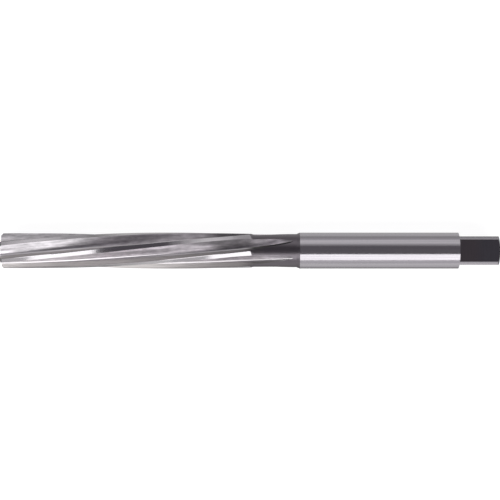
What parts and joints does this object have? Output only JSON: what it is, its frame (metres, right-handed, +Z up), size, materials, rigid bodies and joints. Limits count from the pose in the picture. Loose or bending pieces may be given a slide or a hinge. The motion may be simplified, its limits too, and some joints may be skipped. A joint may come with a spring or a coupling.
{
  "type": "hand reamer",
  "caption": "Parallel hand reamer with left-hand helical flutes, a taper lead, a relieved neck and a square drive end, lying on its side.",
  "frame": {"origin": "under the middle of the tool's length, on the surface that it lies on", "axes": "+X along the tool's axis from the cutting end to the square, +Z up, square to one pair of the square's flats"},
  "size_m": [0.124, 0.009, 0.009],
  "materials": {
    "ground_steel": "bright ground high-speed steel, ground along the flutes and round the shank"
  },
  "bodies": {
    "root": {"reamer": "ground_steel"}
  },
  "joints": []
}
